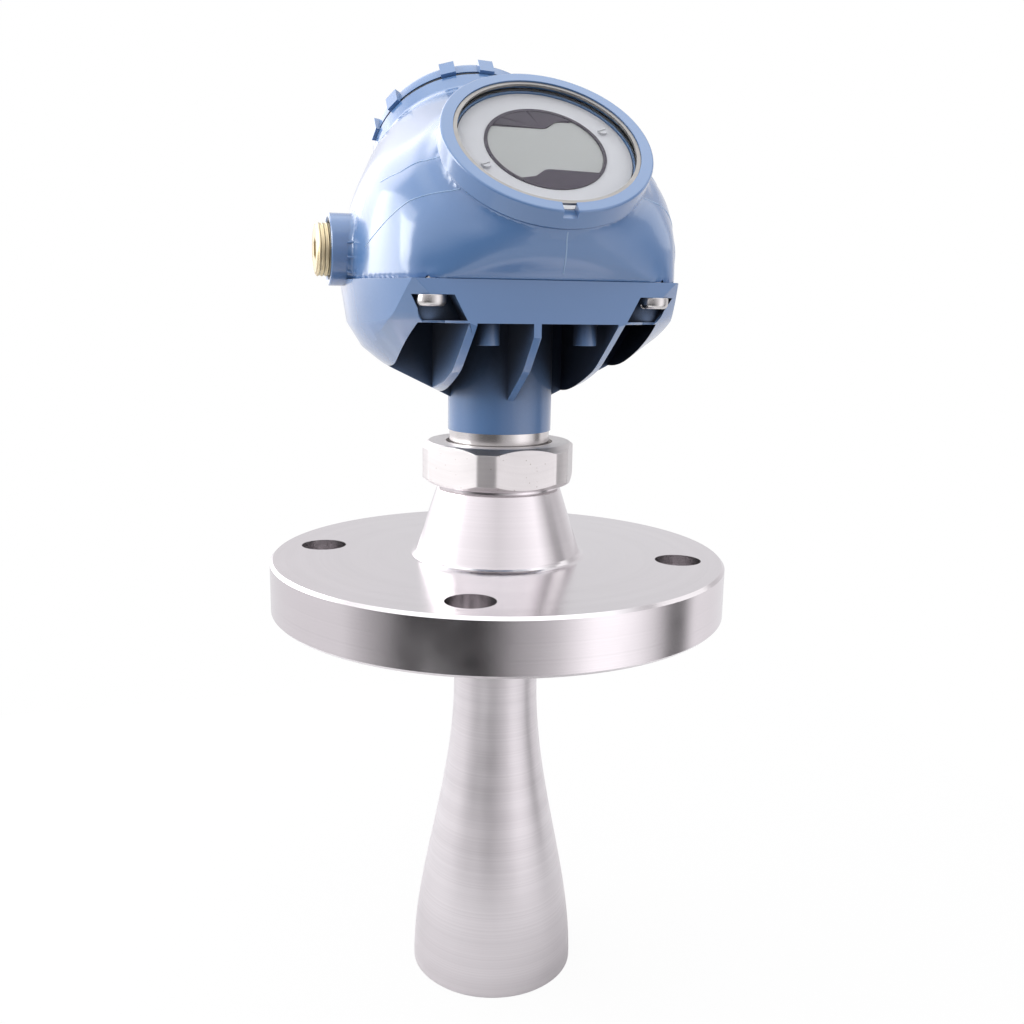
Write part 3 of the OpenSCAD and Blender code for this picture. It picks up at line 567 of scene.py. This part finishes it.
work(form, ("REMESH", {"mode": "VOXEL", "voxel_size": 0.0025}),
     ("SMOOTH", {"factor": 0.5, "iterations": 30}),
     ("DISPLACE", {"strength": 0.0009, "mid_level": 0.0}),
     ("SUBSURF", {"levels": 1}))

dome = casting_copy("housing_dome", "cast_dome")
work(dome, ("REMESH", {"mode": "VOXEL", "voxel_size": 0.0012}))
# The skin ends short of both barrels' ends, of their bores, of the bosses and of the steps
# of the hollow inside, each given by its radius and its height over the joint
skin_ends, bores, blend = (0.0715, 0.0785), (0.0358, 0.0400), 0.005
boss_bore_r, boss_foot, boss_from = 0.0128, (0.0142, 0.019), 0.064
hollow_steps = ((0.0485, 0.008), (0.0365, 0.0225))


def skin_share(place):
    """How far a point of the casting follows the skin: 0 on machined and inner faces."""
    share = ramp(place.z - seam_z, 0.0010, 0.0090)
    for axis, cross, end, bore in zip((to_display, to_terminals), (front_cross, rear_cross),
                                      skin_ends, bores):
        from_cross = place - Vector((0, 0, cross))
        along = from_cross.dot(axis)
        if along > 0.02 and (from_cross - axis * along).length < bore:
            return 0
        share = min(share, ramp(end - along, 0, blend))
    from_boss, from_neck = math.hypot(place.y, place.z - entry_z), place.xy.length
    hollow = any(from_neck < r and place.z < seam_z + high for r, high in hollow_steps)
    if hollow or from_boss < boss_bore_r or abs(place.x) > boss_from:
        return 0
    return min(share, ramp(from_boss, *boss_foot)) if abs(place.x) > 0.05 else share


group = dome.vertex_groups.new(name="skin")
for vertex in dome.data.vertices:
    group.add([vertex.index], skin_share(vertex.co), "REPLACE")
work(dome, ("SHRINKWRAP", {"target": form, "vertex_group": "skin"}),
     ("SMOOTH", {"factor": 0.5, "iterations": 22, "vertex_group": "skin"}))
dome.vertex_groups.clear()
bpy.data.objects.remove(form)

# The dome and the covers are coated all over and lack the painted shade of the base's bays
shell_paint = blue_paint.copy()
shell_paint.name = "shell_paint"
tree = shell_paint.node_tree
shader = tree.nodes["Principled BSDF"]
for label in ("Base Color", "Roughness", "Coat Weight"):
    tree.links.remove(shader.inputs[label].links[0])
tree.links.new(tree.nodes["Mix"].outputs["Result"], shader.inputs["Base Color"])
shader.inputs["Roughness"].default_value = paint_rough


def recoloured(finish, name, dark, light, rough):
    """The same finish in other colours and with another gloss."""
    twin = finish.copy()
    twin.name = name
    nodes = twin.node_tree.nodes
    nodes["Principled BSDF"].inputs["Roughness"].default_value = rough
    nodes["Mix"].inputs["A"].default_value = (*dark, 1)
    nodes["Mix"].inputs["B"].default_value = (*light, 1)
    return twin


# The parting lines are painted a lighter blue than the skin: painted highlight along their
# ridges
lit_line_paint = recoloured(shell_paint, "lit_line_paint", (0.19, 0.32, 0.52), (0.22, 0.36, 0.57),
                        paint_rough)
dome.data.materials.append(shell_paint)


def sleeve(axis, cross, low, high, outer, inner, edge=0.0004):
    """Machined end of a barrel or boss: a short turned tube with broken edges."""
    ring = lathe("sleeve", [(inner, low), (outer, low), (outer, high - edge),
                            (outer - edge, high), (inner + edge, high),
                            (inner, high - edge)])
    spin = Vector((0, 0, 1)).rotation_difference(axis).to_matrix().to_4x4()
    ring.data.transform(Matrix.Translation(cross) @ spin)
    return ring


line_r, line_sunk = 0.00032, 0.00012


def parting_line(way, steps=8):
    """A fine raised line that follows the skin through some points, in millimetres."""
    line = bpy.data.curves.new("parting_line", "CURVE")
    line.dimensions, line.bevel_depth, line.bevel_resolution = "3D", line_r, 2
    run = line.splines.new("POLY")
    count = (len(way) - 1) * steps + 1
    run.points.add(count - 1)
    for k in range(count):
        first = min(k // steps, len(way) - 2)
        spot = Vector(way[first]).lerp(Vector(way[first + 1]), k / steps - first) / 1000
        skin, normal = dome.closest_point_on_mesh(spot)[1:3]
        run.points[k].co = (*(skin - normal * line_sunk), 1)
    bpy.ops.object.select_all(action="DESELECT")
    strand = bpy.data.objects.new("parting_line", line)
    scene.collection.objects.link(strand)
    bpy.context.view_layer.objects.active = strand
    strand.select_set(True)
    bpy.ops.object.convert(target="MESH")
    bpy.context.object.data.materials.append(lit_line_paint)
    return bpy.context.object


web_size, web_toe, web_x, web_r = (0.0085, 0.0050, 0.0009), 0.0005, 0.0600, 0.0150


def gusset(side, lean_deg):
    """A small web between the foot of a conduit boss and the skin."""
    bpy.ops.object.select_all(action="DESELECT")
    bpy.ops.mesh.primitive_cube_add(size=1)
    web = bpy.context.object
    web.data.transform(Matrix.Diagonal((*web_size, 1)))
    for corner in web.data.vertices:
        if corner.co.x * side > 0 and corner.co.y < 0:
            corner.co.y = web_toe
    web.data.transform(Matrix.Translation((side * web_x, 0, entry_z))
                       @ Matrix.Rotation(math.radians(lean_deg), 4, "X")
                       @ Matrix.Translation((0, -web_r, 0)))
    work(web, ("BEVEL", {"width": 0.0003, "segments": 2, "limit_method": "NONE"}))
    return web


# The die left one line down the front of the casting and two on each of its shoulders
fine_parts = [parting_line([(1, -78.5, 152.5), (2, -74.5, 148), (3, -70, 143),
                            (4, -66, 139)])]
for side in (-1, 1):
    for way in ([(33, -65, 166), (40, -59, 165), (47.5, -52.5, 162.5), (52.5, -47.5, 158.5),
                 (57, -38, 153), (59.5, -28, 148)],
                [(38, -56, 179.5), (43, -46, 177), (49, -39.5, 173), (53, -30, 170)]):
        fine_parts.append(parting_line([(side * x, y, z) for x, y, z in way]))
    fine_parts += [gusset(side, lean_deg) for lean_deg in (-9, 13, 37)]

sleeves = [sleeve(to_display, (0, 0, front_cross), low=0.0715, high=0.07583,
                  outer=0.03724, inner=0.0345),
           sleeve(to_terminals, (0, 0, rear_cross), low=0.0840, high=0.09473,
                  outer=0.04154, inner=0.0388)]
sleeves += [sleeve(Vector((side, 0, 0)), (0, 0, entry_z), low=0.0600, high=0.07003,
                   outer=0.01379, inner=0.0120) for side in (-1, 1)]
bpy.ops.object.select_all(action="DESELECT")
for piece in sleeves + fine_parts + [dome]:
    if not piece.data.materials:
        piece.data.materials.append(shell_paint)
    piece.select_set(True)
bpy.context.view_layer.objects.active = dome
bpy.ops.object.join()
bpy.ops.object.shade_smooth_by_angle(angle=math.radians(38))

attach(dome, "head")
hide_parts("housing_dome")

# --- Covers ---------------------------------------------------------------------------
# Both covers are machined from cast blanks and coated like the dome. The display ring
# has a wrench notch, and the terminal cap has pairs of lugs for a bar.
ring_cover = casting_copy("display_cover", "display_ring")
break_edges(ring_cover, 0.0003)
cap = casting_copy("terminal_cover", "terminal_cap")
break_edges(cap, 0.0004)
for piece, body in ((ring_cover, "display_cover"), (cap, "terminal_cover")):
    piece.data.materials.append(shell_paint)
    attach(piece, body)
    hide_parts(body)

# --- Housing screws -------------------------------------------------------------------
# Four slotted pan head screws of stainless steel pull the dome down on the base. Two of
# their heads show in the front pockets.
screws = casting_copy("housing_screws", "screws")
break_edges(screws, 0.00025)
screw_steel = steel("screw_steel", (0.78, 0.77, 0.76), (0.5, 0.48, 0.47),
                    rough=0.22, rougher=0.34, lines_per_m=500, depth=0.00001)
screws.data.materials.append(screw_steel)
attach(screws, "head")
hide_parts("housing_screws")

# --- Blanking plug --------------------------------------------------------------------
# The plug is turned from steel bar, zinc plated and yellow passivated. Three turns of
# its thread stand out of the boss, and a hexagon socket is broached in its end.
plug = casting_copy("blanking_plug", "plug")
break_edges(plug, 0.0002)
first_turn, thread_pitch, lead = 0.0709, 0.0016, math.radians(2.2)
root_r, flank_r, crest_r, root_half, flank_half = 0.0094, 0.0100, 0.0103, 0.0006, 0.0004
turns = []
for k in range(3):
    turn = lathe("turn", [(root_r, -root_half), (flank_r, -flank_half), (crest_r, 0),
                          (flank_r, flank_half), (root_r, root_half)], 64)
    turn.data.transform(Matrix.Translation((-first_turn - k * thread_pitch, 0, entry_z))
                        @ Matrix.Rotation(math.radians(-90), 4, "Y")
                        @ Matrix.Rotation(lead, 4, "X"))
    turns.append(turn)
bpy.ops.object.select_all(action="DESELECT")
for piece in turns + [plug]:
    piece.select_set(True)
bpy.context.view_layer.objects.active = plug
bpy.ops.object.join()
yellow_zinc = steel("yellow_zinc", (0.72, 0.62, 0.40), (0.58, 0.49, 0.32),
                    rough=0.3, rougher=0.45, lines_per_m=600, depth=0.00002)
plug.data.materials.append(yellow_zinc)
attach(plug, "blanking_plug")
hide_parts("blanking_plug")

# --- Glass and its retainer -----------------------------------------------------------
# A disc of toughened glass sits on a black seal in the display ring. A thin spun ring
# holds it from outside.
glass, tree, shader = new_finish("window_glass")
shader.inputs["Base Color"].default_value = (0.97, 0.985, 0.98, 1)
shader.inputs["Roughness"].default_value = 0.02
shader.inputs["IOR"].default_value = 1.12
shader.inputs["Transmission Weight"].default_value = 1.0
clear = tree.nodes.new("ShaderNodeBsdfTransparent")
path = tree.nodes.new("ShaderNodeLightPath")
two_shaders(tree, path.outputs["Is Shadow Ray"], shader.outputs["BSDF"], clear.outputs["BSDF"])
give("window_glass", glass)
retainer_metal = steel("retainer_metal", (0.40, 0.385, 0.37), (0.20, 0.19, 0.18),
                       rough=0.3, rougher=0.42, lines_per_m=900, depth=0.00001)
give("glass_retainer", retainer_metal)

# --- Display face ---------------------------------------------------------------------
# A moulded face plate, bare and light grey, lies under the glass round the liquid crystal
# screen, held by two small screws. A dark printed mask frames the screen and covers two
# fields of it.
face_grey, tree, shader = new_finish("face_grey")
shader.inputs["Specular IOR Level"].default_value = 0.12
spot = tree.nodes.new("ShaderNodeTexCoord").outputs["Object"]
tree.links.new(mix_colours(tree, noise(tree, spot, 50, 4), (0.52, 0.52, 0.55),
                           (0.55, 0.55, 0.58)), shader.inputs["Base Color"])
for node_name in ("face_plate", "module_screws"):
    give(node_name, face_grey)
lcd = recoloured(face_grey, "lcd", (0.33, 0.335, 0.335), (0.39, 0.395, 0.395), 0.3)
give("screen", lcd)
mask = recoloured(face_grey, "mask_purple", (0.040, 0.030, 0.048), (0.052, 0.040, 0.060), 0.35)
ring_inner_r, ring_thinner = 0.01955, 0.0012
frame_line = casting_copy("screen_mask", "screen_frame")
bpy.ops.object.shade_flat()
for vertex in frame_line.data.vertices:
    away = vertex.co - Vector((0, 0, front_cross))
    out = away - to_display * away.dot(to_display)
    if abs(out.length - ring_inner_r) < 0.00025:
        vertex.co += out.normalized() * ring_thinner
frame_line.data.materials.append(mask)
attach(frame_line, "head")
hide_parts("screen_mask")

# --- Seals, electronics and terminals -------------------------------------------------
# Rings and gasket are black nitrile rubber. The modules are potted in dark moulded cases,
# and the terminal block is moulded resin with nickel plated screws.


def moulded(name, dark, light, rough, scale):
    """Moulded rubber or resin: a fine grain and slightly uneven tone and gloss."""
    material, tree, shader = new_finish(name)
    spot = tree.nodes.new("ShaderNodeTexCoord").outputs["Object"]
    tree.links.new(mix_colours(tree, noise(tree, spot, scale / 10, 4), dark, light),
                   shader.inputs["Base Color"])
    tree.links.new(remap(tree, noise(tree, spot, scale / 4, 3), (0, 1),
                         (rough - 0.08, rough + 0.08)), shader.inputs["Roughness"])
    add_bump(tree, noise(tree, spot, scale, 3), 0.00006, 0.4, shader)
    return material


rubber = moulded("black_rubber", (0.012, 0.012, 0.013), (0.022, 0.022, 0.023), 0.55, 900)
case = moulded("moulded_case", (0.020, 0.021, 0.024), (0.034, 0.035, 0.039), 0.45, 1400)
resin = moulded("terminal_resin", (0.05, 0.052, 0.05), (0.075, 0.078, 0.075), 0.4, 1200)
nickel = steel("nickel_screws", (0.70, 0.68, 0.64), (0.48, 0.46, 0.43),
               rough=0.25, rougher=0.38, lines_per_m=500, depth=0.00001)
for node_name in ("hub_seal_ring", "neck_seal_ring", "housing_gasket", "display_seal_ring",
                  "terminal_seal_ring", "plug_seal_ring", "glass_seal"):
    give(node_name, rubber)
for node_name in ("microwave_module", "electronics_module", "display_module"):
    give(node_name, case)
give("terminal_block", resin)
for node_name in ("terminal_screws", "ground_screw"):
    give(node_name, nickel)
